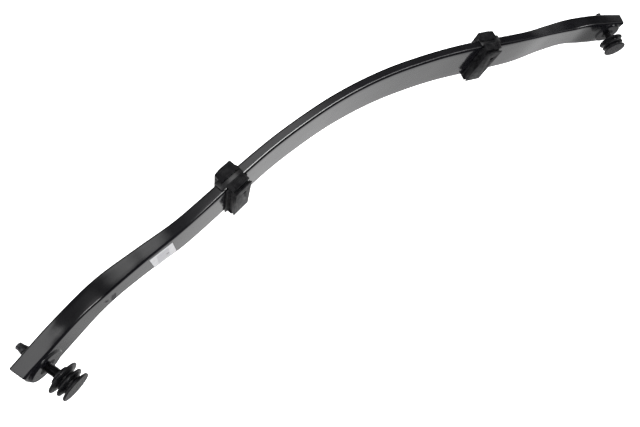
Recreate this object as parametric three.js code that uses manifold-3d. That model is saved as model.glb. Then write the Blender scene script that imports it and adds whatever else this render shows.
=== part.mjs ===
// Transverse composite leaf spring of a sports car, with its two pairs of rubber
// insulators and the height adjuster at each end.
// Millimetres. +X runs along the leaf, +Y across it and +Z up. The origin is the middle
// of the leaf's top face.
import * as THREE from 'three';
import * as BufferGeometryUtils from 'three/addons/utils/BufferGeometryUtils.js';
import Module from 'manifold-3d';

const wasm = await Module();
wasm.setup();

// ---------------------------------------------------------------- driving dimensions

// Leaf: one station every stationPitch, from the middle to just past the tip. The two
// halves are alike. The last station only steers the curves: the leaf ends at tipReach.
const stationPitch = 60;
const topDrop = [0, 2, 8.5, 18, 31, 45.3, 58.5, 64.3, 72.5, 93.5, 117, 140];
const leafThickness = [15.6, 15.8, 16, 16.2, 16.8, 18, 18.6, 22.4, 26.8, 23.6, 24.4, 25];
const leafWidth = [78, 77.5, 77, 77, 77.5, 73.5, 68, 53, 46.5, 55.5, 51, 46];
const tipReach = 600;
const tipCornerRadius = 3;
const flexReach = 325; // where each arm's bending is gathered, a little outside its insulators

// Round boss under each tip, which the adjuster's bush passes through.
const bossDepth = 26; // from the leaf's top face
const bossRoot = 18; // sunk well into the leaf
const bossRadius = 23;
const bossRootRadius = 25;

// Insulators: a rubber block above and below the leaf, and a thin liner between.
const insulatorReach = 262;
const insulatorHalfWidth = 43.8;
const insulatorLipInside = 40.8;
const linerThickness = 1.6;
const linerInboard = -15;
const linerOutboard = 27;
const linerInside = 39;
const linerTabDepth = 15.5;
const linerCornerRadius = 5;
const upperHeight = 11.6;
const upperShoulder = 9.7;
const upperInboard = -13.2;
const upperTopInboard = -12;
const upperTopOutboard = 9;
const upperShoulderOutboard = 18.8;
const upperOutboard = 20.2;
const upperLipDepth = 5;
const lowerDepth = 15;
const lowerInboard = -16.5;
const lowerOutboard = 14.5;
const lowerLipHeight = 3.9;
const lowerStepDepth = 11.5; // below this the block's near and far ends are set back
const lowerStepInside = 40.8;
const lowerFlangeDepth = 3;
const lowerFlangeHalf = 20;
const lowerFlangeHalfWidth = 40;
const locatingHoleRadius = 3.3;
const locatingHoleDepth = 5;
const locatingHole = { x: 3.6, y: -22 };

// Height adjuster at each end, measured down from the leaf's top face.
const adjusterReach = 580;
const boltRadius = 6;
const boltTop = 9; // where the thread gives way to the taper, above the leaf
const hexStart = 15;
const hexEnd = 19.7;
const hexAcrossFlats = 8;
const boltFoot = 62;
const screwedUp = { right: 3.5, left: -0.875 }; // two turns up, and half a turn down
const bushRadius = 10;
const bushBore = 6.3;
const bushFlangeRadius = 15;
const bushFlangeThickness = 2.4;
const washerTop = 41.4;
const washerThickness = 2.2;
const washerRadius = 11.5;
const sleeveRadius = 9.4;
const sleeveTop = 44;
const sleeveFloor = 62.4;
const sleeveFoot = 64.4;
const cushionTop = 43.9;
const cushionFoot = 68;
const cushionCore = 12.6;
const cushionPocketFloor = 64.8;
const cushionFootChamfer = 0.6;

// Paper label under the left arm.
const label = { x: -391, y: 2.5, length: 36, width: 48, thickness: 0.4, turn: 0.06 };

const gap = 0.3; // left between pieces that touch
const ample = 80; // overshoot of the solids that only cut
const roundSides = 24;
const cushionSides = 32;

// ---------------------------------------------------------------------- materials

const materials = {
  leaf: new THREE.MeshStandardMaterial({ color: 0x16171b, roughness: 0.34, metalness: 0 }),
  rubber: new THREE.MeshStandardMaterial({ color: 0x1a1a1c, roughness: 0.72, metalness: 0 }),
  liner: new THREE.MeshStandardMaterial({ color: 0x2b2b2f, roughness: 0.5, metalness: 0 }),
  steel: new THREE.MeshStandardMaterial({ color: 0x2c2c2e, roughness: 0.45, metalness: 0.9 }),
  paper: new THREE.MeshStandardMaterial({ color: 0xdfe0e2, roughness: 0.7, metalness: 0 }),
};

// ------------------------------------------------------------- solids and their joins

// Turns a closed geometry into a solid that can be joined and cut.
function solid(geometry) {
  const bare = geometry.index ? geometry.toNonIndexed() : geometry.clone();
  bare.deleteAttribute('normal');
  bare.deleteAttribute('uv');
  const merged = BufferGeometryUtils.mergeVertices(bare, 1e-4);
  const mesh = new wasm.Mesh({
    numProp: 3,
    vertProperties: new Float32Array(merged.attributes.position.array),
    triVerts: new Uint32Array(merged.index.array),
  });
  return new wasm.Manifold(mesh);
}

// Turns a solid back into a geometry that a mesh can hold.
function geometryOf(body) {
  const mesh = body.getMesh();
  const geometry = new THREE.BufferGeometry();
  geometry.setAttribute('position', new THREE.BufferAttribute(mesh.vertProperties, 3));
  geometry.setIndex(new THREE.BufferAttribute(mesh.triVerts, 1));
  geometry.computeVertexNormals();
  return geometry;
}

function outline(points) {
  return new THREE.Shape(points.map(([u, v]) => new THREE.Vector2(u, v)));
}

// Extrudes an outline drawn in X and Z across the leaf, half to each side of the middle.
function extrudeAcross(shape, halfWidth) {
  const geometry = new THREE.ExtrudeGeometry(shape, { depth: 2 * halfWidth, bevelEnabled: false });
  geometry.rotateX(Math.PI / 2);
  geometry.translate(0, halfWidth, 0);
  return geometry;
}

// Extrudes an outline drawn in X and Y upwards, from low to high.
function extrudeUp(shape, low, high, curveSegments = 6) {
  const options = { depth: high - low, bevelEnabled: false, curveSegments };
  const geometry = new THREE.ExtrudeGeometry(shape, options);
  geometry.translate(0, 0, low);
  return geometry;
}

function box(low, high) {
  const size = high.map((value, axis) => value - low[axis]);
  const geometry = new THREE.BoxGeometry(...size);
  geometry.translate(...high.map((value, axis) => (value + low[axis]) / 2));
  return geometry;
}

// Upright cylinder from low to high about the point (x, y).
function cylinder(radius, low, high, sides = roundSides, x = 0, y = 0) {
  const geometry = new THREE.CylinderGeometry(radius, radius, high - low, sides);
  geometry.rotateX(Math.PI / 2);
  geometry.translate(x, y, (low + high) / 2);
  return geometry;
}

// Turns a closed profile of [radius, height] points about the upright axis.
function turned(profile, sides = roundSides) {
  const points = profile.map(([radius, height]) => new THREE.Vector2(radius, height));
  const geometry = new THREE.LatheGeometry(points, sides);
  geometry.rotateX(Math.PI / 2);
  return geometryOf(solid(geometry));
}

// ------------------------------------------------------------------ the leaf's curves

// A smooth curve through one value per station, the same on both sides of the middle.
function alongLeaf(values) {
  const last = values.length - 1;
  const reach = last * stationPitch;
  const points = [];
  for (let station = -last; station <= last; station += 1) {
    points.push(new THREE.Vector2(station * stationPitch, values[Math.abs(station)]));
  }
  const curve = new THREE.SplineCurve(points);
  return (x) => curve.getPoint((x + reach) / (2 * reach)).y;
}

const dropAt = alongLeaf(topDrop);
const thicknessAt = alongLeaf(leafThickness);
const widthAt = alongLeaf(leafWidth);
const topAt = (x) => -dropAt(x);
const bottomAt = (x) => topAt(x) - thicknessAt(x);

// Angle by which a face falls towards the tip at x.
function fallAt(face, x) {
  const reach = 4;
  return Math.atan2(face(x - reach) - face(x + reach), 2 * reach);
}

const curveStep = 15;
const leafEnds = tipReach + 30;

function stepsAlong() {
  const steps = [];
  for (let x = -leafEnds; x <= leafEnds; x += curveStep) steps.push(x);
  return steps;
}

// The whole leaf, longer than it ends up: its side view cut by its plan view.
function leafBlank() {
  const steps = stepsAlong();
  const topLine = steps.map((x) => [x, topAt(x)]);
  const bottomLine = steps.map((x) => [x, bottomAt(x)]).reverse();
  const nearLine = steps.map((x) => [x, -widthAt(x) / 2]);
  const farLine = steps.map((x) => [x, widthAt(x) / 2]).reverse();
  const sideView = solid(extrudeAcross(outline([...topLine, ...bottomLine].reverse()), ample));
  const lowest = bottomAt(leafEnds) - ample;
  const planView = solid(extrudeUp(outline([...nearLine, ...farLine]), lowest, ample));
  return sideView.intersect(planView);
}

// Moves a geometry drawn about a point of the leaf's face into the leaf's frame.
function placedOn(geometry, face, x) {
  geometry.rotateY(fallAt(face, x));
  geometry.translate(x, 0, face(x));
  return geometry;
}

// Everything outside the right-hand flex line, which is square to the leaf's top face.
function outsideFlexLine(clearance) {
  const block = box([clearance, -ample, -2 * ample], [2 * tipReach, ample, 2 * ample]);
  return solid(placedOn(block, topAt, flexReach));
}

// The tip's plan shape: square to the leaf, with rounded corners.
function tipLimit() {
  const tip = (tipReach - adjusterReach) / Math.cos(fallAt(topAt, adjusterReach));
  const half = widthAt(tipReach) / 2;
  const shape = new THREE.Shape();
  shape.moveTo(-2 * tipReach, -ample);
  shape.lineTo(tip - tipCornerRadius - (ample - half), -ample);
  shape.lineTo(tip - tipCornerRadius, -half);
  shape.absarc(tip - tipCornerRadius, tipCornerRadius - half, tipCornerRadius, -Math.PI / 2, 0);
  shape.absarc(tip - tipCornerRadius, half - tipCornerRadius, tipCornerRadius, 0, Math.PI / 2);
  shape.lineTo(tip - tipCornerRadius - (ample - half), ample);
  shape.lineTo(-2 * tipReach, ample);
  return solid(placedOn(extrudeUp(shape, -2 * ample, 2 * ample), topAt, adjusterReach));
}

// The boss under the tip, its root sunk into the leaf.
function tipBoss() {
  const height = bossDepth - bossRoot;
  const boss = new THREE.CylinderGeometry(bossRootRadius, bossRadius, height, roundSides * 2);
  boss.rotateX(Math.PI / 2);
  boss.translate(0, 0, -(bossDepth + bossRoot) / 2);
  return solid(placedOn(boss, topAt, adjusterReach));
}

function leafArm() {
  const bore = cylinder(bushRadius + gap, -ample, ample);
  return leafBlank()
    .intersect(outsideFlexLine(gap / 2))
    .add(tipBoss())
    .intersect(tipLimit())
    .subtract(solid(placedOn(bore, topAt, adjusterReach)));
}

function leafCentre() {
  const right = outsideFlexLine(-gap / 2);
  const left = right.rotate([0, 0, 180]);
  return leafBlank().subtract(right).subtract(left);
}

// ------------------------------------------------------------------------ insulators

// Liner, drawn about the leaf's top face: a web over the leaf and a tab down each side.
function insulatorLiner() {
  const outside = linerInside + linerThickness;
  const top = gap + linerThickness;
  const tab = new THREE.Shape();
  const radius = linerCornerRadius;
  const cornerZ = radius - linerTabDepth;
  tab.moveTo(linerInboard, top);
  tab.absarc(linerInboard + radius, cornerZ, radius, Math.PI, 1.5 * Math.PI);
  tab.absarc(linerOutboard - radius, cornerZ, radius, 1.5 * Math.PI, 2 * Math.PI);
  tab.lineTo(linerOutboard, top);
  const channel = box([-ample, -linerInside, -ample], [ample, linerInside, gap]);
  return geometryOf(solid(extrudeAcross(tab, outside)).subtract(solid(channel)));
}

// Upper insulator, drawn about the leaf's top face.
function upperInsulator() {
  const seat = 2 * gap + linerThickness;
  const block = outline([
    [upperInboard, -upperLipDepth],
    [upperOutboard, -upperLipDepth],
    [upperShoulderOutboard, upperShoulder],
    [upperTopOutboard, upperHeight],
    [upperTopInboard, upperHeight],
  ]);
  const channel = box([-ample, -insulatorLipInside, -ample], [ample, insulatorLipInside, seat]);
  return geometryOf(solid(extrudeAcross(block, insulatorHalfWidth)).subtract(solid(channel)));
}

// Lower insulator, drawn about the leaf's bottom face.
function lowerInsulator(hole) {
  const body = box(
    [lowerInboard, -insulatorHalfWidth, -lowerStepDepth],
    [lowerOutboard, insulatorHalfWidth, lowerLipHeight],
  );
  const foot = box(
    [lowerInboard, -lowerStepInside, -lowerDepth],
    [lowerOutboard, lowerStepInside, 0],
  );
  const flange = box(
    [-lowerFlangeHalf, -lowerFlangeHalfWidth, -lowerFlangeDepth],
    [lowerFlangeHalf, lowerFlangeHalfWidth, -gap],
  );
  const channel = box([-ample, -insulatorLipInside, -gap], [ample, insulatorLipInside, ample]);
  const holeTop = locatingHoleDepth - lowerDepth;
  const pocket = cylinder(locatingHoleRadius, -ample, holeTop, 16, hole.x, hole.y);
  const block = solid(body).add(solid(foot)).add(solid(flange)).subtract(solid(channel));
  return geometryOf(block.subtract(solid(pocket)));
}

// -------------------------------------------------------------------- height adjuster

function threadedBush() {
  const top = gap + bushFlangeThickness;
  return turned([
    [bushBore, top],
    [bushBore, -bossDepth],
    [bushRadius, -bossDepth],
    [bushRadius, gap],
    [bushFlangeRadius, gap],
    [bushFlangeRadius, top],
    [bushBore, top],
  ]);
}

function adjusterBolt() {
  const hexRadius = hexAcrossFlats / 2 / Math.cos(Math.PI / 6);
  const shank = turned([
    [0, -boltFoot],
    [boltRadius, -boltFoot],
    [boltRadius, boltTop],
    [hexRadius, hexStart],
    [0, hexStart],
  ]);
  const hex = cylinder(hexRadius, hexStart - 1, hexEnd, 6);
  return geometryOf(solid(shank).add(solid(hex)));
}

function cushionWasher() {
  const foot = -washerTop - washerThickness;
  return turned([
    [bushBore, -washerTop],
    [bushBore, foot],
    [washerRadius, foot],
    [washerRadius, -washerTop],
    [bushBore, -washerTop],
  ]);
}

// Steel cup that the bolt's foot turns in.
function cushionSleeve() {
  return turned([
    [0, -sleeveFoot],
    [sleeveRadius, -sleeveFoot],
    [sleeveRadius, -sleeveTop],
    [bushBore, -sleeveTop],
    [bushBore, -sleeveFloor],
    [0, -sleeveFloor],
  ]);
}

// Ribbed rubber cushion: three discs on a core, with a pocket for the sleeve.
const cushionDiscs = [
  { depth: 47.4, radius: 20.7, half: 1.7 },
  { depth: 56.9, radius: 18.3, half: 2 },
  { depth: 66.2, radius: 18.8, half: 1.8 },
];

function cushion() {
  const pocket = sleeveRadius + gap;
  const [upper, middle, lower] = cushionDiscs;
  const rimmed = ({ depth, radius, half }) => [
    [cushionCore, half + 0.6 - depth],
    [radius - 1.2, half - depth],
    [radius, 0.4 * half - depth],
    [radius, -0.4 * half - depth],
    [radius - 1.2, -half - depth],
    [cushionCore, -half - 0.6 - depth],
  ];
  const outside = [
    [pocket, -cushionTop],
    ...rimmed(upper),
    ...rimmed(middle),
    ...rimmed(lower).slice(0, -2),
    [lower.radius - cushionFootChamfer, -cushionFoot],
    [0, -cushionFoot],
  ];
  const inside = [
    [0, -cushionPocketFloor],
    [pocket, -cushionPocketFloor],
  ];
  return turned([...inside, ...outside].reverse(), cushionSides);
}

// --------------------------------------------------------------------------- assembly

function named(name, geometry, material) {
  const mesh = new THREE.Mesh(geometry, material);
  mesh.name = name;
  return mesh;
}

// A group that sits on one face of the leaf at x, turned to lie along it.
function frameOn(face, x) {
  const frame = new THREE.Group();
  frame.position.set(x, 0, face(x));
  frame.rotation.y = fallAt(face, x);
  return frame;
}

function insulators(side, hole) {
  const above = frameOn(topAt, insulatorReach);
  above.add(named(`insulator_liner_${side}`, insulatorLiner(), materials.liner));
  above.add(named(`upper_insulator_${side}`, upperInsulator(), materials.rubber));
  const below = frameOn(bottomAt, insulatorReach);
  below.add(named(`lower_insulator_${side}`, lowerInsulator(hole), materials.rubber));
  return [above, below];
}

function adjuster(side) {
  const frame = frameOn(topAt, adjusterReach);
  const screw = new THREE.Group();
  screw.position.z = screwedUp[side];
  screw.add(named(`adjuster_bolt_${side}`, adjusterBolt(), materials.steel));
  screw.add(named(`cushion_washer_${side}`, cushionWasher(), materials.steel));
  screw.add(named(`cushion_sleeve_${side}`, cushionSleeve(), materials.steel));
  screw.add(named(`cushion_${side}`, cushion(), materials.rubber));
  frame.add(named(`threaded_bush_${side}`, threadedBush(), materials.steel), screw);
  return frame;
}

// One end of the spring, drawn on the right. The left end is the same, turned half round.
function springEnd(side, turn, hole) {
  const end = new THREE.Group();
  end.rotation.z = turn;
  end.add(named(`leaf_arm_${side}`, geometryOf(leafArm()), materials.leaf));
  end.add(...insulators(side, hole), adjuster(side));
  return end;
}

function paperLabel() {
  const { x, y, length, width, thickness, turn } = label;
  const sheet = box([-length / 2, -width / 2, -gap - thickness], [length / 2, width / 2, -gap]);
  sheet.rotateZ(-turn);
  sheet.translate(0, y, 0);
  const frame = frameOn(bottomAt, x);
  frame.add(named('label', sheet, materials.paper));
  return frame;
}

const spring = new THREE.Group();
spring.add(named('leaf_centre', geometryOf(leafCentre()), materials.leaf));
spring.add(springEnd('right', 0, locatingHole));
spring.add(springEnd('left', Math.PI, { x: -locatingHole.x, y: -locatingHole.y }));
spring.add(paperLabel());

export default spring;
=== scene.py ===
import math

import bmesh
import bpy
from mathutils import Matrix, Vector


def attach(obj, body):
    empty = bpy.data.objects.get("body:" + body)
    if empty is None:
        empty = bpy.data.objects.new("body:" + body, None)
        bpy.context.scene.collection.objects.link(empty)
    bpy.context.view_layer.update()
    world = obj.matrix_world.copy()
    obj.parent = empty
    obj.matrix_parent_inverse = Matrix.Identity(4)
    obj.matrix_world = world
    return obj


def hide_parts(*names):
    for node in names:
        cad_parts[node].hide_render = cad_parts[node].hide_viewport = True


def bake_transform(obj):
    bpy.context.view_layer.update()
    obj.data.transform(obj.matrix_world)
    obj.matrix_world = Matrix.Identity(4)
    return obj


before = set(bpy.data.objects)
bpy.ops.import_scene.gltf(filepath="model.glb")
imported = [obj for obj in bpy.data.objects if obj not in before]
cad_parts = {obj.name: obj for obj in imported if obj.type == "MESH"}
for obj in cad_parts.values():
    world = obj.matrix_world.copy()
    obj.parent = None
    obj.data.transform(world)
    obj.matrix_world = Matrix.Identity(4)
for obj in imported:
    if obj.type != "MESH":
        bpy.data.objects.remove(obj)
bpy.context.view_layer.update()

MM = 0.001
SIDES = {"right": 0.0, "left": math.pi}  # the left end is the right end turned half round

# ------------------------------------------------------------ dimensions, millimetres

# Leaf, one station every STATION_PITCH from the middle.
STATION_PITCH = 60
TOP_DROP = [0, 2, 8.5, 18, 31, 45.3, 58.5, 64.3, 72.5, 93.5, 117, 140]
LEAF_THICKNESS = [15.6, 15.8, 16, 16.2, 16.8, 18, 18.6, 22.4, 26.8, 23.6, 24.4, 25]
LEAF_WIDTH = [78, 77.5, 77, 77, 77.5, 73.5, 68.6, 54.5, 46.1, 55.5, 51, 46]
TIP_REACH = 600
TIP_ROUNDING = 1.2
TIP_STEPS = 5
MIDDLE_EDGE = 4  # radius of the leaf's lower edges in its middle
END_EDGE = 3
TOP_EDGE = 2.4
EDGE_CHANGE = (290, 340)  # where the lower edges go from one radius to the other
FAIRING = 2.0  # how far the underside swells out towards the boss
FAIRING_STARTS, FAIRING_FULL, FAIRING_ENDS = 492, 550, 590
BEND = (289, 361)  # a stretch between the middle and an arm, whose two ends leaf_arm works out and then leaves unused
MIDDLE_RING_PITCH = 6
ARM_RING_PITCH = 5
TIP_CLEAR = 4  # the arm's even rings stop this far short of its tip

INSULATOR_REACH = 262
LOCATING_HOLE = (3.6, -22)
LOCATING_HOLE_RADIUS = 3.3
LOCATING_HOLE_DEPTH = 5
LOWER_DEPTH = 15
LOWER_INBOARD = -16.5
LOWER_OUTBOARD = 14.5
LOWER_LIP = 3.9
LOWER_STEP_DEPTH = 11.5
LOWER_STEP_INSIDE = 40.8
LOWER_FLANGE = (20, 40, 3)  # half length, half width and depth
LOWER_GROOVE = (9.8, 13.2, 37.5)  # its top, its foot and how far out it starts
LOWER_SIDE_GROOVE = (4, 10.4, 2.4)  # its top, its foot and its depth
FRAME_MIDDLE = (-2.4, -3.5)
FRAME_SIZES = [(10.8, 4.6), (6.9, 1.9)]  # half length and half height of the nested frames
FRAME_GROOVE_WIDTH = 1.1
FRAME_GROOVE_DEPTH = 0.7
UPPER_OUTLINE = [(-13.2, -5), (20.2, -5), (18.8, 9.7), (9, 11.6), (-12, 11.6)]
UPPER_OUTBOARD = 19.5  # middle of the upper block's outboard side
UPPER_STEPS = {"starts": (8.2, 11.6), "length": 1.3, "depth": 0.7, "foot": 1.5, "top": 20}
UPPER_HOLE = {"across": 35.6, "height": 5, "radius": 1.6, "inward": 4, "outward": 9}
INSULATOR_HALF_WIDTH = 43.8
LIP_INSIDE = 40.8
LINER_THICKNESS = 1.6
LINER_INSIDE = 39
LINER_INBOARD = -15
LINER_OUTBOARD = 27
LINER_TAB_DEPTH = 15.5
LINER_CORNER = 5
GAP = 0.3
CUTTER_REACH = 80  # well past any piece that a cutter goes through
OVERSHOOT = 1  # how far a cutter stands out of a face

ADJUSTER_REACH = 580
THREAD_PITCH = 1.75
THREAD_RADIUS = 6
THREAD_DEPTH = 0.95
BOLT_POINT = 1.2  # the bolt's foot is chamfered by this
THREAD_START = 1.3  # above the bolt's foot
BOLT_TOP = 9
HEX_START = 15
HEX_END = 19.7
HEX_FLATS = 8
HEX_COLLAR = (0.3, 0.8)  # how far it stands out, and how far below the hexagon it starts
HEX_CROWN = (0.86, 0.7)  # the hexagon's top: its share of the full size, and its height
BOLT_FOOT = 62
SCREWED_UP = {"right": 3.5, "left": -0.875}  # two turns up, and half a turn down
BUSH_BORE = 6.3
BUSH_RADIUS = 10
BUSH_FLANGE = 15
BUSH_FLANGE_THICKNESS = 2.4
WASHER = (41.4, 43.6, 11.5)  # its top and foot below the leaf, and its radius
SLEEVE = (44, 62.4, 64.4, 9.4)  # its top, its floor's two faces below the leaf, and its radius
BOSS_DEPTH = 26
BOSS_ROOT = 18.5
BOSS_RADIUS = 22.4
BOSS_ROOT_RADIUS = 25.2
BOSS_RIM = 0.9

# Each disc's depth, radius and half thickness.
CUSHION_DISCS = [(47.4, 20.7, 1.7), (56.9, 18.3, 2.0), (66.2, 18.8, 1.8)]
CUSHION_CORE = 12.3
CUSHION_SHOULDER = 0.2  # how far the core stands out at its top
CUSHION_TOP = 43.9
CUSHION_FOOT = 68
DISC_RIM = 1.2  # the part of a disc's radius that its rounded rim takes up
DISC_ROOT = 1  # how far each face of a disc widens towards the core
FOOT_RIM = (0.7, 0.6, 1)  # the foot's rounded edge: its rise, then two steps inwards
POCKET_RADIUS = 9.7
POCKET_FLOOR = 64.8

LABEL = {"x": 391, "y": 2.5, "length": 36, "width": 48, "turn": -0.06}
LABEL_OFF, LABEL_THICKNESS = 0.3, 0.2
PRINT_ROWS = 6
PRINT_PITCH = 6
PRINT_LENGTH = 19
PRINT_SPACE = 1.2
SQUARE_SIZE = (4, 5)
SQUARE_PLACE = (-6.5, 3)  # from the label's middle
PRINT_OFF, SQUARE_OFF, INK_OFF = 0.52, 0.58, 0.05  # how far each stands off the leaf
INK_THICKNESS = 0.04
INK_MARKS = {  # x, y, (length, width) and turn
    "ink_mark_large": (470, 8, (7, 20), 0.2),
    "ink_mark_small": (479.5, 1, (3.5, 10), -0.2),
}


# ------------------------------------------------------------------- the leaf's curves

def along_leaf(values):
    """A smooth curve through one value per station, alike on both sides of the middle."""

    def value_at(x):
        place = abs(x) / STATION_PITCH
        first = int(place)
        share = place - first
        last = len(values) - 1
        before, start, stop, after = (
            values[min(abs(first + step), last)] for step in (-1, 0, 1, 2)
        )
        leaving = (stop - before) / 2
        arriving = (after - start) / 2
        cubic = 2 * start - 2 * stop + leaving + arriving
        square = -3 * start + 3 * stop - 2 * leaving - arriving
        return ((cubic * share + square) * share + leaving) * share + start

    return value_at


drop_at = along_leaf(TOP_DROP)
thickness_at = along_leaf(LEAF_THICKNESS)
width_at = along_leaf(LEAF_WIDTH)


def top_at(x):
    return -drop_at(x)


def bottom_at(x):
    return top_at(x) - thickness_at(x)


def fairing_at(x):
    rise = min(max((abs(x) - FAIRING_STARTS) / (FAIRING_FULL - FAIRING_STARTS), 0), 1)
    fade = min(max((FAIRING_ENDS - abs(x)) / (FAIRING_ENDS - FAIRING_FULL), 0), 1)
    return FAIRING * (0.5 - 0.5 * math.cos(math.pi * min(rise, fade)))


def fall_at(face, x):
    """The angle by which a face falls towards the tip at x."""
    reach = 4
    return math.atan2(face(x - reach) - face(x + reach), 2 * reach)


def on_leaf(face, x, side):
    """The matrix of a frame that sits on a face of the leaf, in metres."""
    place = Matrix.Translation((x * MM, 0, face(x) * MM))
    return Matrix.Rotation(SIDES[side], 4, "Z") @ place @ Matrix.Rotation(fall_at(face, x), 4, "Y")


# ------------------------------------------------------------------------ mesh helpers

def new_object(name, bm):
    """Makes an object of a bmesh drawn in millimetres."""
    bmesh.ops.recalc_face_normals(bm, faces=bm.faces)
    bmesh.ops.scale(bm, vec=(MM, MM, MM), verts=bm.verts)
    mesh = bpy.data.meshes.new(name)
    bm.to_mesh(mesh)
    bm.free()
    made = bpy.data.objects.new(name, mesh)
    bpy.context.scene.collection.objects.link(made)
    return made


def rings_to_object(name, rings, closed_ends=True):
    """Skins a list of rings of points, each the same length."""
    bm = bmesh.new()
    verts = [[bm.verts.new(point) for point in ring] for ring in rings]
    for near, far in zip(verts, verts[1:]):
        for i in range(len(near)):
            j = (i + 1) % len(near)
            bm.faces.new((near[i], near[j], far[j], far[i]))
    if closed_ends:
        bm.faces.new(verts[0][::-1])
        bm.faces.new(verts[-1])
    return new_object(name, bm)


def turned(name, profile, sides=64):
    """Turns an open profile of (radius, height) points, or a closed one, about the upright axis."""
    bm = bmesh.new()
    rings = []
    for radius, height in profile:
        if radius < 1e-6:
            rings.append([bm.verts.new((0, 0, height))])
            continue
        angles = (2 * math.pi * side / sides for side in range(sides))
        rings.append([bm.verts.new((radius * math.cos(a), radius * math.sin(a), height)) for a in angles])
    pairs = list(zip(rings, rings[1:]))
    if len(rings[0]) > 1 and len(rings[-1]) > 1:
        pairs.append((rings[-1], rings[0]))
    for near, far in pairs:
        for i in range(sides):
            j = (i + 1) % sides
            corners = [near[i % len(near)], near[j % len(near)], far[j % len(far)], far[i % len(far)]]
            distinct = list(dict.fromkeys(corners))
            if len(distinct) > 2:
                bm.faces.new(distinct)
    return new_object(name, bm)


def prism(name, outline, half_width):
    """Extrudes an outline of (x, z) points across the leaf, half to each side."""
    rings = [[(x, y, z) for x, z in outline] for y in (-half_width, half_width)]
    return rings_to_object(name, rings)


def block(name, low, high):
    """A cutter with square sides."""
    outline = [(low[0], low[2]), (high[0], low[2]), (high[0], high[2]), (low[0], high[2])]
    rings = [[(x, y, z) for x, z in outline] for y in (low[1], high[1])]
    return rings_to_object(name, rings)


def settle(piece):
    """Applies a piece's modifiers."""
    evaluated = piece.evaluated_get(bpy.context.evaluated_depsgraph_get())
    mesh = bpy.data.meshes.new_from_object(evaluated)
    piece.modifiers.clear()
    piece.data = mesh


def combine(piece, other, operation):
    """Joins another solid to a piece or cuts it away, and removes it."""
    modifier = piece.modifiers.new("combine", "BOOLEAN")
    modifier.operation = operation
    modifier.solver = "EXACT"
    modifier.object = other
    settle(piece)
    bpy.data.objects.remove(other)


def soften(piece, radius, segments=3):
    """Rounds a piece's sharp edges."""
    modifier = piece.modifiers.new("soften", "BEVEL")
    modifier.width = radius * MM
    modifier.segments = segments
    modifier.limit_method = "ANGLE"
    modifier.angle_limit = math.radians(28)
    modifier.harden_normals = False
    settle(piece)


def smooth(piece, degrees=35):
    piece.data.shade_smooth()
    piece.data.set_sharp_from_angle(angle=math.radians(degrees))


def place(piece, matrix):
    """Puts a piece drawn about a frame into the row frame, with its place in its vertices."""
    piece.data.transform(matrix)


def remember_rest(piece):
    """Keeps each point's place at rest, which the materials take their patterns from."""
    attribute = piece.data.attributes.new("rest", "FLOAT_VECTOR", "POINT")
    places = [value for vertex in piece.data.vertices for value in vertex.co]
    attribute.data.foreach_set("vector", places)


def finished(piece, material, slot, *nodes):
    """Gives a piece its material, and hides the CAD nodes that it stands for."""
    smooth(piece)
    remember_rest(piece)
    piece.data.materials.clear()
    piece.data.materials.append(material)
    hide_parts(*nodes)
    return piece


def cut_corners(points, rounds=2):
    """Rounds the corners of an open line of points, keeping its ends."""
    for _ in range(rounds):
        rounded = [points[0]]
        for (r0, z0), (r1, z1) in zip(points, points[1:]):
            rounded.append((0.75 * r0 + 0.25 * r1, 0.75 * z0 + 0.25 * z1))
            rounded.append((0.25 * r0 + 0.75 * r1, 0.25 * z0 + 0.75 * z1))
        rounded.append(points[-1])
        points = rounded
    return points


# --------------------------------------------------------------------------- materials

def start_material(name, colour, roughness, metallic=0.0, specular=0.5):
    material = bpy.data.materials.new(name)
    material.use_nodes = True
    shader = material.node_tree.nodes["Principled BSDF"]
    shader.inputs["Base Color"].default_value = (*colour, 1)
    shader.inputs["Roughness"].default_value = roughness
    shader.inputs["Metallic"].default_value = metallic
    shader.inputs["Specular IOR Level"].default_value = specular
    return material, shader


def rest_pattern(material, scale, detail=3.0, stretch=(1, 1, 1)):
    """A noise that stays with the surface. Scale is in features per metre."""
    nodes, links = material.node_tree.nodes, material.node_tree.links
    attribute = nodes.new("ShaderNodeAttribute")
    attribute.attribute_name = "rest"
    mapping = nodes.new("ShaderNodeMapping")
    mapping.inputs["Scale"].default_value = stretch
    noise = nodes.new("ShaderNodeTexNoise")
    noise.inputs["Scale"].default_value = scale
    noise.inputs["Detail"].default_value = detail
    links.new(attribute.outputs["Vector"], mapping.inputs["Vector"])
    links.new(mapping.outputs["Vector"], noise.inputs["Vector"])
    return noise.outputs["Fac"]


def spread(material, value, low, high):
    """Spreads a noise's middle values over a range."""
    node = material.node_tree.nodes.new("ShaderNodeMapRange")
    node.inputs["From Min"].default_value = 0.3
    node.inputs["From Max"].default_value = 0.7
    node.inputs["To Min"].default_value = low
    node.inputs["To Max"].default_value = high
    material.node_tree.links.new(value, node.inputs["Value"])
    return node.outputs["Result"]


def between(material, value, dark, light):
    """A colour from dark to light as a noise goes from low to high."""
    ramp = material.node_tree.nodes.new("ShaderNodeValToRGB")
    ramp.color_ramp.elements[0].position = 0.35
    ramp.color_ramp.elements[0].color = (*dark, 1)
    ramp.color_ramp.elements[1].position = 0.68
    ramp.color_ramp.elements[1].color = (*light, 1)
    material.node_tree.links.new(value, ramp.inputs["Fac"])
    return ramp.outputs["Color"]


def add_bump(material, shader, height, strength, depth):
    """Depth is the relief in millimetres."""
    bump = material.node_tree.nodes.new("ShaderNodeBump")
    bump.inputs["Strength"].default_value = strength
    bump.inputs["Distance"].default_value = depth * MM
    material.node_tree.links.new(height, bump.inputs["Height"])
    material.node_tree.links.new(bump.outputs["Normal"], shader.inputs["Normal"])


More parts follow.
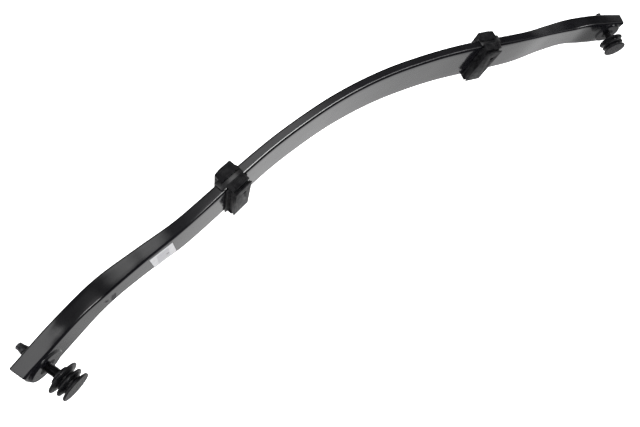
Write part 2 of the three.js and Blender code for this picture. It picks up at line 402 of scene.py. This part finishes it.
def composite_material():
    """Black moulded glass-fibre composite, with a faint flow along the leaf."""
    material, shader = start_material("composite", (0.006, 0.006, 0.007), 0.15, specular=0.42)
    links = material.node_tree.links
    tone = rest_pattern(material, 14, 4)
    colour = between(material, tone, (0.004, 0.004, 0.005), (0.009, 0.009, 0.011))
    links.new(colour, shader.inputs["Base Color"])
    links.new(spread(material, rest_pattern(material, 45, 4), 0.1, 0.17), shader.inputs["Roughness"])
    fibres = rest_pattern(material, 1, 3, stretch=(110, 400, 400))
    add_bump(material, shader, fibres, 0.25, 0.06)
    return material


def rubber_material(name, roughness, light, specular):
    """Moulded rubber with a fine grain and a little dust."""
    material, shader = start_material(name, (0.008, 0.008, 0.009), roughness, specular=specular)
    links = material.node_tree.links
    colour = between(material, rest_pattern(material, 120, 4), (0.004, 0.004, 0.005), light)
    links.new(colour, shader.inputs["Base Color"])
    wear = spread(material, rest_pattern(material, 260, 2), roughness - 0.08, roughness + 0.12)
    links.new(wear, shader.inputs["Roughness"])
    add_bump(material, shader, rest_pattern(material, 1600, 2), 0.15, 0.05)
    return material


def liner_material():
    material, shader = start_material("liner", (0.007, 0.007, 0.008), 0.2, specular=0.55)
    links = material.node_tree.links
    tone = rest_pattern(material, 90, 3)
    colour = between(material, tone, (0.005, 0.005, 0.006), (0.011, 0.011, 0.012))
    links.new(colour, shader.inputs["Base Color"])
    add_bump(material, shader, rest_pattern(material, 500, 2), 0.12, 0.04)
    return material


def steel_material(name, dark, light, roughness):
    """Phosphated or plain steel, slightly uneven."""
    material, shader = start_material(name, dark, roughness, metallic=0.9)
    links = material.node_tree.links
    links.new(between(material, rest_pattern(material, 300, 3), dark, light), shader.inputs["Base Color"])
    wear = spread(material, rest_pattern(material, 500, 2), roughness - 0.1, roughness + 0.1)
    links.new(wear, shader.inputs["Roughness"])
    add_bump(material, shader, rest_pattern(material, 2400, 2), 0.25, 0.04)
    return material


def flat_material(name, dark, light, roughness, scale):
    """A dull coating that varies a little in tone."""
    material, shader = start_material(name, dark, roughness)
    links = material.node_tree.links
    links.new(between(material, rest_pattern(material, scale, 3), dark, light), shader.inputs["Base Color"])
    add_bump(material, shader, rest_pattern(material, 1200, 3), 0.15, 0.04)
    return material


COMPOSITE = composite_material()
RUBBER = rubber_material("rubber", 0.45, (0.017, 0.017, 0.018), 0.1)
LOWER_RUBBER = rubber_material("lower_rubber", 0.45, (0.022, 0.022, 0.023), 0.1)
CUSHION_RUBBER = rubber_material("cushion_rubber", 0.28, (0.015, 0.015, 0.016), 0.2)
LINER = liner_material()
DARK_STEEL = steel_material("dark_steel", (0.02, 0.02, 0.022), (0.05, 0.05, 0.053), 0.36)
STEEL = steel_material("steel", (0.015, 0.015, 0.017), (0.03, 0.03, 0.033), 0.6)
PAPER = flat_material("paper", (0.52, 0.52, 0.535), (0.58, 0.58, 0.595), 0.55, 160)
PRINT = flat_material("print", (0.4, 0.4, 0.42), (0.46, 0.46, 0.48), 0.6, 900)
SQUARE = flat_material("square", (0.2, 0.2, 0.21), (0.26, 0.26, 0.27), 0.6, 900)
INK = flat_material("ink", (0.006, 0.006, 0.009), (0.02, 0.02, 0.026), 0.5, 300)


# -------------------------------------------------------------------------------- leaf

CORNER_STEPS = 6
FACE_STEPS = 10
WALL_STEPS = 4
DEPTH_ROUNDS = 6  # enough for the depth square to the top face to settle


def lower_edge_at(x):
    start, stop = EDGE_CHANGE
    share = min(max((abs(x) - start) / (stop - start), 0), 1)
    return MIDDLE_EDGE + (END_EDGE - MIDDLE_EDGE) * share


def rounded_section(half, depth, upper, lower):
    """Points round a section: across and down from its top middle, with rounded corners."""
    corners = [
        (half - upper, upper, upper, math.pi / 2),
        (half - lower, depth - lower, lower, 0),
        (lower - half, depth - lower, lower, -math.pi / 2),
        (upper - half, upper, upper, -math.pi),
    ]
    points = []
    steps = (WALL_STEPS, FACE_STEPS, WALL_STEPS, FACE_STEPS)
    for (across, down, radius, start), straight in zip(corners, steps):
        for step in range(CORNER_STEPS + 1):
            angle = start - step / CORNER_STEPS * math.pi / 2
            points.append((across + radius * math.cos(angle), down - radius * math.sin(angle)))
        points.append(straight)
    return fill_straights(points)


def fill_straights(points):
    """Replaces each whole number by that many even steps between its neighbours."""
    filled = []
    for i, point in enumerate(points):
        if not isinstance(point, int):
            filled.append(point)
            continue
        start, stop = points[i - 1], points[(i + 1) % len(points)]
        for step in range(1, point):
            share = step / point
            filled.append(tuple(a + (b - a) * share for a, b in zip(start, stop)))
    return filled


def leaf_ring(x, inset=0.0, along=0.0):
    """One section of the leaf, square to its top face at x, moved along it and drawn in all round."""
    slant = math.copysign(1, x) * fall_at(top_at, min(abs(x), ADJUSTER_REACH))
    depth = thickness_at(x)
    for _ in range(DEPTH_ROUNDS):
        foot = x - depth * math.sin(slant)
        depth = (top_at(x) - bottom_at(foot) + fairing_at(foot)) / math.cos(slant)
    half = width_at(x) / 2 - inset
    section = rounded_section(half, depth - 2 * inset, TOP_EDGE, lower_edge_at(x))
    ring = []
    for across, down in section:
        place_x = x - (down + inset) * math.sin(slant) + along * math.cos(slant)
        place_z = top_at(x) - (down + inset) * math.cos(slant) - along * math.sin(slant)
        spare = width_at(place_x) / 2 - width_at(x) / 2
        ring.append((place_x, across + math.copysign(spare, across) * min(1, abs(across) / half), place_z))
    return ring


def evenly(start, stop, pitch):
    count = max(1, round(abs(stop - start) / pitch))
    return [start + (stop - start) * step / count for step in range(count + 1)]


def leaf_middle():
    stations = evenly(-INSULATOR_REACH, INSULATOR_REACH, MIDDLE_RING_PITCH)
    rings = [leaf_ring(x if x else 1e-6) for x in stations]
    piece = rings_to_object("leaf_middle", rings)
    finished(piece, COMPOSITE, "composite", "leaf_centre")
    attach(piece, "leaf")


def tip_rings():
    """The arm's last sections, drawn in to round the tip's edges."""
    rings = []
    for step in range(TIP_STEPS + 1):
        angle = step / TIP_STEPS * math.pi / 2
        inset = TIP_ROUNDING * (1 - math.cos(angle))
        back = TIP_ROUNDING * (1 - math.sin(angle))
        rings.append(leaf_ring(TIP_REACH, inset, -back))
    return rings


def leaf_arm(side):
    rings = [leaf_ring(x) for x in evenly(INSULATOR_REACH, TIP_REACH - TIP_CLEAR, ARM_RING_PITCH)]
    piece = rings_to_object(f"leaf_skin_{side}", rings + tip_rings())
    adjuster = on_leaf(top_at, ADJUSTER_REACH, "right")
    boss = turned("boss", [
        (0, -BOSS_ROOT),
        (BOSS_ROOT_RADIUS, -BOSS_ROOT),
        (BOSS_RADIUS, BOSS_RIM - BOSS_DEPTH),
        (BOSS_RADIUS - BOSS_RIM, -BOSS_DEPTH),
        (0, -BOSS_DEPTH),
    ], 96)
    place(boss, adjuster)
    combine(piece, boss, "UNION")
    bore_radius = BUSH_RADIUS + GAP
    bore = turned("bore", [
        (0, -CUTTER_REACH),
        (bore_radius, -CUTTER_REACH),
        (bore_radius, CUTTER_REACH),
        (0, CUTTER_REACH),
    ])
    place(bore, adjuster)
    combine(piece, bore, "DIFFERENCE")
    place(piece, Matrix.Rotation(SIDES[side], 4, "Z"))
    finished(piece, COMPOSITE, "composite", f"leaf_arm_{side}")
    outward = 1 if side == "right" else -1
    start, stop = ((outward * x * MM, 0, top_at(x) * MM) for x in BEND)
    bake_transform(piece)


# -------------------------------------------------------------------------- insulators

def arc(centre, radius, start, stop, steps=8):
    angles = (start + (stop - start) * step / steps for step in range(steps + 1))
    return [(centre[0] + radius * math.cos(a), centre[1] + radius * math.sin(a)) for a in angles]


def cut_channel(piece, half_width, foot, top):
    """Cuts the leaf's way through a piece."""
    low = (-CUTTER_REACH, -half_width, foot)
    combine(piece, block("channel", low, (CUTTER_REACH, half_width, top)), "DIFFERENCE")


def across_end(end, inside):
    """The two places across the leaf between which a cutter works on one end face."""
    return sorted((end * (INSULATOR_HALF_WIDTH + OVERSHOOT), end * inside))


def insulator_liner(side):
    top = GAP + LINER_THICKNESS
    low = LINER_CORNER - LINER_TAB_DEPTH
    quarter = math.pi / 2
    outline = [
        (LINER_INBOARD, top),
        *arc((LINER_INBOARD + LINER_CORNER, low), LINER_CORNER, 2 * quarter, 3 * quarter),
        *arc((LINER_OUTBOARD - LINER_CORNER, low), LINER_CORNER, 3 * quarter, 4 * quarter),
        (LINER_OUTBOARD, top),
    ]
    piece = prism(f"liner_{side}", outline, LINER_INSIDE + LINER_THICKNESS)
    cut_channel(piece, LINER_INSIDE, -CUTTER_REACH, GAP)
    soften(piece, 0.35, 2)
    place(piece, on_leaf(top_at, INSULATOR_REACH, side))
    finished(piece, LINER, "liner", f"insulator_liner_{side}")
    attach(piece, "leaf")


def upper_insulator(side):
    """Upper block, with two moulded steps on each end face and a small hole in its outboard side."""
    seat = 2 * GAP + LINER_THICKNESS
    piece = prism(f"upper_block_{side}", UPPER_OUTLINE, INSULATOR_HALF_WIDTH)
    cut_channel(piece, LIP_INSIDE, -CUTTER_REACH, seat)
    foot, top = UPPER_STEPS["foot"], UPPER_STEPS["top"]
    for end in (-1, 1):
        near, far = across_end(end, INSULATOR_HALF_WIDTH - UPPER_STEPS["depth"])
        for start in UPPER_STEPS["starts"]:
            stop = start + UPPER_STEPS["length"]
            combine(piece, block("step", (start, near, foot), (stop, far, top)), "DIFFERENCE")
    near_side = -1 if side == "right" else 1
    radius, inward, outward = (UPPER_HOLE[name] for name in ("radius", "inward", "outward"))
    hole = turned("hole", [(0, -inward), (radius, -inward), (radius, outward), (0, outward)], 24)
    across, height = near_side * UPPER_HOLE["across"] * MM, UPPER_HOLE["height"] * MM
    lying = Matrix.Rotation(math.pi / 2, 4, "Y")
    place(hole, Matrix.Translation((UPPER_OUTBOARD * MM, across, height)) @ lying)
    combine(piece, hole, "DIFFERENCE")
    soften(piece, 0.55)
    place(piece, on_leaf(top_at, INSULATOR_REACH, side))
    finished(piece, RUBBER, "rubber", f"upper_insulator_{side}")
    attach(piece, "leaf")


def lower_insulator(side):
    """Lower block: a stepped body on a wider flange, with nested frames moulded on each end face."""
    low, high = LOWER_INBOARD, LOWER_OUTBOARD
    body_low = (low, -INSULATOR_HALF_WIDTH, -LOWER_STEP_DEPTH)
    piece = block(f"lower_block_{side}", body_low, (high, INSULATOR_HALF_WIDTH, LOWER_LIP))
    foot_low = (low, -LOWER_STEP_INSIDE, -LOWER_DEPTH)
    combine(piece, block("foot", foot_low, (high, LOWER_STEP_INSIDE, 0)), "UNION")
    length, width, depth = LOWER_FLANGE
    combine(piece, block("flange", (-length, -width, -depth), (length, width, -GAP)), "UNION")
    cut_channel(piece, LIP_INSIDE, -GAP, CUTTER_REACH)
    for end in (-1, 1):
        groove_top, groove_foot, inside = LOWER_GROOVE
        near, far = across_end(end, inside)
        groove_low = (-CUTTER_REACH, near, -groove_foot)
        combine(piece, block("groove", groove_low, (CUTTER_REACH, far, -groove_top)), "DIFFERENCE")
        for half_length, half_height in FRAME_SIZES:
            cut_frame(piece, end, half_length, half_height)
    groove_top, groove_foot, depth = LOWER_SIDE_GROOVE
    for near, far in ((low - OVERSHOOT, low + depth), (high - depth, high + OVERSHOOT)):
        groove_low = (near, -LOWER_STEP_INSIDE, -groove_foot)
        groove_high = (far, LOWER_STEP_INSIDE, -groove_top)
        combine(piece, block("side_groove", groove_low, groove_high), "DIFFERENCE")
    hole_side = 1 if side == "right" else -1
    floor_height = LOCATING_HOLE_DEPTH - LOWER_DEPTH
    hole = turned("hole", [
        (0, -CUTTER_REACH),
        (LOCATING_HOLE_RADIUS, -CUTTER_REACH),
        (LOCATING_HOLE_RADIUS, floor_height),
        (0, floor_height),
    ], 32)
    hole_x, hole_y = (hole_side * value * MM for value in LOCATING_HOLE)
    place(hole, Matrix.Translation((hole_x, hole_y, 0)))
    combine(piece, hole, "DIFFERENCE")
    soften(piece, 0.5)
    place(piece, on_leaf(bottom_at, INSULATOR_REACH, side))
    finished(piece, LOWER_RUBBER, "rubber", f"lower_insulator_{side}")
    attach(piece, "leaf")


def cut_frame(piece, end, half_length, half_height):
    """Cuts a shallow rectangular groove into one end face, about the middle of its frames."""
    along, height = FRAME_MIDDLE
    near, far = across_end(end, INSULATOR_HALF_WIDTH - FRAME_GROOVE_DEPTH)
    outer_low = (along - half_length, near, height - half_height)
    cutter = block("frame", outer_low, (along + half_length, far, height + half_height))
    length, tall = half_length - FRAME_GROOVE_WIDTH, half_height - FRAME_GROOVE_WIDTH
    core_low = (along - length, near - OVERSHOOT, height - tall)
    core = block("core", core_low, (along + length, far + OVERSHOOT, height + tall))
    combine(cutter, core, "DIFFERENCE")
    combine(piece, cutter, "DIFFERENCE")


# ---------------------------------------------------------------------- height adjuster

def on_screw(side):
    """The frame of an adjuster's screw and cushion, which stand at the height they are screwed to."""
    return on_leaf(top_at, ADJUSTER_REACH, side) @ Matrix.Translation((0, 0, SCREWED_UP[side] * MM))


def threaded_rings(foot, top):
    """Rings of a right-hand thread, faded out at both ends."""
    sides, steps_per_turn = 36, 8
    steepness, crest = 1.25, 0.12  # of the thread's flanks, and of the flat on its tops
    rings = []
    for height in evenly(foot, top, THREAD_PITCH / steps_per_turn):
        fade = min(1, (height - foot) / THREAD_PITCH, (top - height) / THREAD_PITCH)
        ring = []
        for side in range(sides):
            phase = (height / THREAD_PITCH - side / sides) % 1
            groove = min(1, max(0, steepness * (1 - abs(2 * phase - 1)) - crest))
            radius = THREAD_RADIUS - THREAD_DEPTH * groove * max(0, fade)
            angle = 2 * math.pi * side / sides
            ring.append((radius * math.cos(angle), radius * math.sin(angle), height))
        rings.append(ring)
    return rings


def adjuster_bolt(side):
    sides = 36
    hex_radius = HEX_FLATS / 2 / math.cos(math.pi / 6)

    def plain_ring(radius, height):
        angles = (2 * math.pi * i / sides for i in range(sides))
        return [(radius * math.cos(a), radius * math.sin(a), height) for a in angles]

    def hex_ring(scale, height):
        ring = []
        for i in range(sides):
            angle = 2 * math.pi * i / sides
            from_flat = (angle % (math.pi / 3)) - math.pi / 6
            radius = scale * HEX_FLATS / 2 / math.cos(from_flat)
            ring.append((radius * math.cos(angle), radius * math.sin(angle), height))
        return ring

    stands_out, starts_below = HEX_COLLAR
    crown_share, crown_height = HEX_CROWN
    rings = [
        plain_ring(THREAD_RADIUS - BOLT_POINT, -BOLT_FOOT),
        plain_ring(THREAD_RADIUS, BOLT_POINT - BOLT_FOOT),
        *threaded_rings(THREAD_START - BOLT_FOOT, BOLT_TOP),
        plain_ring(hex_radius + stands_out, HEX_START - starts_below),
        hex_ring(1, HEX_START),
        hex_ring(1, HEX_END - crown_height),
        hex_ring(crown_share, HEX_END),
    ]
    piece = rings_to_object(f"bolt_{side}", rings)
    place(piece, on_screw(side))
    finished(piece, DARK_STEEL, "black_steel", f"adjuster_bolt_{side}")
    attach(piece, f"adjuster_{side}")


def turned_ring(name, profile, chamfer, frame_matrix):
    piece = turned(name, profile, 72)
    soften(piece, chamfer, 2)
    place(piece, frame_matrix)
    return piece


def bush(side):
    """The threaded bush in the leaf, with a flange above it."""
    top = GAP + BUSH_FLANGE_THICKNESS
    profile = [
        (BUSH_BORE, top),
        (BUSH_BORE, -BOSS_DEPTH),
        (BUSH_RADIUS, -BOSS_DEPTH),
        (BUSH_RADIUS, GAP),
        (BUSH_FLANGE, GAP),
        (BUSH_FLANGE, top),
    ]
    piece = turned_ring(f"bush_{side}", profile, 0.4, on_leaf(top_at, ADJUSTER_REACH, side))
    finished(piece, STEEL, "steel", f"threaded_bush_{side}")
    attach(piece, f"arm_{side}")


def cushion_steel(side):
    """The washer on top of the cushion and the sleeve inside it."""
    top, foot, radius = WASHER
    washer = [(BUSH_BORE, -top), (BUSH_BORE, -foot), (radius, -foot), (radius, -top)]
    piece = turned_ring(f"washer_{side}", washer, 0.4, on_screw(side))
    finished(piece, DARK_STEEL, "black_steel", f"cushion_washer_{side}")
    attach(piece, f"cushion_carrier_{side}")
    top, floor_top, foot, radius = SLEEVE
    sleeve = [
        (0, -foot),
        (radius, -foot),
        (radius, -top),
        (BUSH_BORE, -top),
        (BUSH_BORE, -floor_top),
        (0, -floor_top),
    ]
    piece = turned_ring(f"sleeve_{side}", sleeve, 0.3, on_screw(side))
    finished(piece, STEEL, "steel", f"cushion_sleeve_{side}")
    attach(piece, f"cushion_carrier_{side}")


def cushion(side):
    """Three soft-rimmed discs on a core, with a flat foot and a pocket for the sleeve."""
    outside = [(POCKET_RADIUS, -CUSHION_TOP), (CUSHION_CORE + CUSHION_SHOULDER, -CUSHION_TOP)]
    for depth, radius, half in CUSHION_DISCS:
        outside += [
            (CUSHION_CORE, half + DISC_ROOT - depth),
            (radius - DISC_RIM, half - depth),
            (radius, 0.5 * half - depth),
            (radius, -0.5 * half - depth),
            (radius - DISC_RIM, -half - depth),
            (CUSHION_CORE, -half - DISC_ROOT - depth),
        ]
    foot_radius = CUSHION_DISCS[-1][1]
    rise, *inwards = FOOT_RIM
    rim = [(foot_radius, -CUSHION_FOOT + rise)]
    rim += [(foot_radius - inward, -CUSHION_FOOT) for inward in inwards]
    start = [(0, -POCKET_FLOOR), (POCKET_RADIUS, -POCKET_FLOOR)]
    profile = start + cut_corners(outside[:-2]) + rim + [(0, -CUSHION_FOOT)]
    piece = turned(f"cushion_body_{side}", profile, 96)
    place(piece, on_screw(side))
    finished(piece, CUSHION_RUBBER, "cushion_rubber", f"cushion_{side}")
    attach(piece, f"cushion_carrier_{side}")


# -------------------------------------------------------------------- label and markings

def patch_on_underside(name, x, y, length, width, turn, offset, thickness, steps=12):
    """A thin patch that lies along the left arm's underside."""
    rings = []
    for i in range(steps + 1):
        along = (i / steps - 0.5) * length
        ring = []
        for layer, order in ((offset, 1), (offset + thickness, -1)):
            for j in range(steps + 1):
                across = order * (j / steps - 0.5) * width
                place_x = -x + along * math.cos(turn) - across * math.sin(turn)
                place_y = y + along * math.sin(turn) + across * math.cos(turn)
                ring.append((place_x, place_y, bottom_at(place_x) - layer))
        rings.append(ring)
    return rings_to_object(name, rings)


def marking(name, x, y, size, turn, offset, material):
    """A thin flat mark of ink under the left arm."""
    mark = patch_on_underside(name, x, y, *size, turn, offset, INK_THICKNESS, 6)
    smooth(mark)
    remember_rest(mark)
    mark.data.materials.append(material)
    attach(mark, "arm_left")


def label():
    """Label with plain printed rows and one darker square, none of them readable."""
    x, y, length, width, turn = (LABEL[name] for name in ("x", "y", "length", "width", "turn"))
    sheet = patch_on_underside("label_sheet", x, y, length, width, turn, LABEL_OFF, LABEL_THICKNESS)
    finished(sheet, PAPER, "paper", "label")
    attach(sheet, "arm_left")
    for row in range(PRINT_ROWS):
        across = y + PRINT_PITCH * (row - (PRINT_ROWS - 1) / 2)
        size = (PRINT_LENGTH, PRINT_PITCH - PRINT_SPACE)
        marking(f"label_row_{row}", x, across, size, turn, PRINT_OFF, PRINT)
    square_x, square_y = SQUARE_PLACE
    marking("label_square", x + square_x, y + square_y, SQUARE_SIZE, turn, SQUARE_OFF, SQUARE)


def ink_marks():
    for name, (x, y, size, turn) in INK_MARKS.items():
        marking(name, x, y, size, turn, INK_OFF, INK)


# ----------------------------------------------------------------- room, light and camera

FLOOR_HALF_SIZE = 20000
FLOOR_DEPTH = 620
BACKDROP_RADIUS = 15000


def glowing_material(name, grey, brightness):
    """A dull grey that also gives off white light."""
    material, shader = start_material(name, (grey, grey, grey), 0.9)
    shader.inputs["Emission Color"].default_value = (1, 1, 1, 1)
    shader.inputs["Emission Strength"].default_value = brightness
    return material


def floor():
    """Pale ground. Reflections look past it, so that they show the room alone."""
    bm = bmesh.new()
    bmesh.ops.create_grid(bm, x_segments=2, y_segments=2, size=FLOOR_HALF_SIZE)
    ground = new_object("floor", bm)
    ground.location.z = -FLOOR_DEPTH * MM
    ground.visible_glossy = False
    ground.data.materials.append(glowing_material("floor", 0.93, 0.8))


def backdrop():
    """White dome behind everything. It neither lights the object nor shows in its reflections."""
    bm = bmesh.new()
    bmesh.ops.create_uvsphere(bm, u_segments=48, v_segments=24, radius=BACKDROP_RADIUS)
    dome = new_object("backdrop", bm)
    dome.visible_diffuse = False
    dome.visible_glossy = False
    dome.visible_shadow = False
    dome.data.materials.append(glowing_material("backdrop", 0.9, 1.1))


# Brightness of the room by bearing round the upright axis, in degrees from -Y towards +X.
# Above the horizon the back is white, and the front is dark with two bright panels and a dim
# one. Below it, which the polished undersides mirror, the front is dark up to a narrow bright
# panel and the rest is grey.
WHITE = 1.05
DARK = 0.05
ABOVE = [
    (-180, WHITE),
    (-70, WHITE),
    (-45, 1.8),
    (-10.9, 3.4),
    (-9.6, 0.2),
    (0, 0.25),
    (7, 0.55),
    (12, 2.4),
    (25, 2.4),
    (31, 0.2),
    (43, 0.17),
    (50, 0.05),
    (61, 0.05),
    (71, 0.6),
    (80, 0.6),
    (105, WHITE),
    (180, WHITE),
]
BELOW = [
    (-180, 0.45),
    (-150, 0.4),
    (-100, 0.4),
    (-80, DARK),
    (15.5, DARK),
    (17.5, 30),
    (30.5, 30),
    (34, 5),
    (37.5, 2.6),
    (41, 0.9),
    (70, 0.8),
    (90, 0.6),
    (130, 1.35),
    (150, 1.3),
    (160, 1.05),
    (168, 0.95),
    (175, 0.85),
    (180, 0.45),
]
BRIGHTEST = 30


class World:
    """Small helpers that add nodes to the room's shader."""

    def __init__(self):
        self.data = bpy.data.worlds.new("studio")
        self.data.use_nodes = True
        self.nodes = self.data.node_tree.nodes
        self.links = self.data.node_tree.links

    def direction(self):
        source = self.nodes.new("ShaderNodeTexCoord")
        split = self.nodes.new("ShaderNodeSeparateXYZ")
        self.links.new(source.outputs["Generated"], split.inputs["Vector"])
        return split.outputs["X"], split.outputs["Y"], split.outputs["Z"]

    def calculate(self, operation, *values):
        node = self.nodes.new("ShaderNodeMath")
        node.operation = operation
        for socket, value in zip(node.inputs, values):
            if isinstance(value, (int, float)):
                socket.default_value = value
            else:
                self.links.new(value, socket)
        return node.outputs["Value"]

    def remap(self, value, start, stop, first, last):
        node = self.nodes.new("ShaderNodeMapRange")
        for name, number in zip(("From Min", "From Max", "To Min", "To Max"), (start, stop, first, last)):
            node.inputs[name].default_value = number
        self.links.new(value, node.inputs["Value"])
        return node.outputs["Result"]

    def by_bearing(self, turn, stops):
        node = self.nodes.new("ShaderNodeValToRGB")
        elements = node.color_ramp.elements
        while len(elements) < len(stops):
            elements.new(0.5)
        for element, (degrees, brightness) in zip(elements, stops):
            grey = brightness / BRIGHTEST
            element.position = (degrees + 180) / 360
            element.color = (grey, grey, grey, 1)
        self.links.new(turn, node.inputs["Fac"])
        return node.outputs["Color"]


def surroundings():
    """A room made of the two rings of panels, darker overhead, straight down and low in front."""
    world = World()
    across, depth, height = world.direction()
    bearing = world.calculate("ARCTAN2", across, world.calculate("MULTIPLY", depth, -1))
    turn = world.remap(bearing, -math.pi, math.pi, 0, 1)
    in_front = world.remap(depth, -0.25, 0, 1, 0)
    leaning = world.calculate("SUBTRACT", height, world.calculate("MULTIPLY", depth, 0.2))
    overhead = world.remap(leaning, 0.57, 0.67, 1, 0.15)
    nadir = world.remap(height, -0.7, -0.55, 0.04, 1)
    steep = world.calculate("MULTIPLY", in_front, world.remap(height, -0.43, -0.32, 0.92, 0))
    above = world.calculate("MULTIPLY", world.by_bearing(turn, ABOVE), overhead)
    below = world.calculate("MULTIPLY", world.by_bearing(turn, BELOW), nadir)
    below = world.calculate("MULTIPLY", below, world.calculate("SUBTRACT", 1, steep))
    share = world.remap(height, -0.1, -0.025, 0, 1)
    upper = world.calculate("MULTIPLY", above, share)
    lower = world.calculate("MULTIPLY", below, world.calculate("SUBTRACT", 1, share))
    background = world.nodes["Background"]
    world.links.new(world.calculate("ADD", upper, lower), background.inputs["Color"])
    background.inputs["Strength"].default_value = BRIGHTEST
    bpy.context.scene.world = world.data
    bpy.context.scene.view_settings.view_transform = "Standard"


def softbox(name, place_at, aim, size, power):
    data = bpy.data.lights.new(name, "AREA")
    data.shape = "RECTANGLE"
    data.size, data.size_y = size
    data.energy = power
    lamp = bpy.data.objects.new(name, data)
    lamp.location = place_at
    lamp.rotation_euler = (Vector(aim) - Vector(place_at)).to_track_quat("-Z", "Y").to_euler()
    lamp.visible_camera = False
    bpy.context.scene.collection.objects.link(lamp)


def camera():
    data = bpy.data.cameras.new("camera")
    data.lens = 27.316
    data.sensor_width = 36
    data.clip_start = 0.02
    data.clip_end = 60
    view = bpy.data.objects.new("camera", data)
    right = Vector((0.79898, -0.21001, -0.56349))
    up = Vector((0.48215, -0.33629, 0.80898))
    back = Vector((-0.35939, -0.91805, -0.16743))
    turn = Matrix((right, up, back)).transposed().to_4x4()
    view.matrix_world = Matrix.Translation((-0.43057, -0.66344, -0.26566)) @ turn
    bpy.context.scene.collection.objects.link(view)
    bpy.context.scene.camera = view


camera()
surroundings()
floor()
backdrop()
softbox("key", place_at=(-0.4, -0.6, 1.3), aim=(0, 0, 0), size=(1.4, 1.0), power=4)
leaf_middle()
for end in SIDES:
    leaf_arm(end)
    insulator_liner(end)
    upper_insulator(end)
    lower_insulator(end)
    adjuster_bolt(end)
    bush(end)
    cushion_steel(end)
    cushion(end)
label()
ink_marks()
